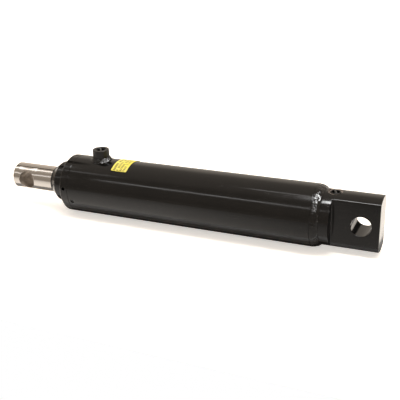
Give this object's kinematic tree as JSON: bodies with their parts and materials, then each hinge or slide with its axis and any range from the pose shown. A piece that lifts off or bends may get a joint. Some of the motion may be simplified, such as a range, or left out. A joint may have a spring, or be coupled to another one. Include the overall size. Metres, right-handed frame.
{
  "type": "hydraulic cylinder",
  "caption": "Double-acting welded hydraulic cylinder with a flat drilled tang at the base, a threaded gland, ports on top at both ends and a cross-drilled chrome rod.",
  "frame": {"origin": "centre of the base pin hole", "axes": "+X along the cylinder's axis, out of the base end; the rod end and its travel are towards -X; +Z out of the rod-end port"},
  "size_m": [0.5481, 0.0826, 0.0974],
  "materials": {
    "black_enamel": "gloss black enamel",
    "chromed_rod": "ground and chromed",
    "bare_steel": "turned",
    "yellow_label": "satin printed label",
    "black_plastic": "moulded",
    "nitrile": "matte",
    "polyurethane": "satin",
    "guide_ring": "matte"
  },
  "bodies": {
    "barrel": {"barrel_tube": "black_enamel", "base_end_block": "black_enamel", "base_weld_bead": "black_enamel", "rod_port_boss": "black_enamel", "rod_port_weld": "black_enamel", "label": "yellow_label", "gland": "black_enamel", "gland_lock_screw": "bare_steel", "gland_o_ring": "nitrile", "gland_backup_ring": "guide_ring", "wiper": "polyurethane", "rod_seal": "polyurethane", "rod_guide_ring_front": "guide_ring", "rod_guide_ring_rear": "guide_ring"},
    "piston_seals": {"piston_energiser_ring": "nitrile", "piston_seal": "polyurethane", "piston_guide_ring_front": "guide_ring", "piston_guide_ring_rear": "guide_ring"},
    "rod": {"piston_rod": "chromed_rod", "piston": "bare_steel", "piston_lock_nut": "bare_steel", "piston_static_o_ring": "nitrile"},
    "port_plug": {"rod_port_plug": "black_plastic"},
    "base_plug": {"base_port_plug": "black_plastic"}
  },
  "joints": [
    {"name": "rod_slide", "type": "slide", "parent": "barrel", "child": "piston_seals", "axis": [-1, 0, 0], "range_m": [0, 0.254]},
    {"name": "rod_turn", "type": "hinge", "parent": "piston_seals", "child": "rod", "pos_m": [-0.4, 0, 0], "axis": [1, 0, 0], "continuous": true},
    {"name": "port_plug_pull", "type": "slide", "parent": "barrel", "child": "port_plug", "axis": [0, 0, 1], "range_m": [0, 0.03]},
    {"name": "base_plug_pull", "type": "slide", "parent": "barrel", "child": "base_plug", "axis": [0, 0, 1], "range_m": [0, 0.03]}
  ]
}
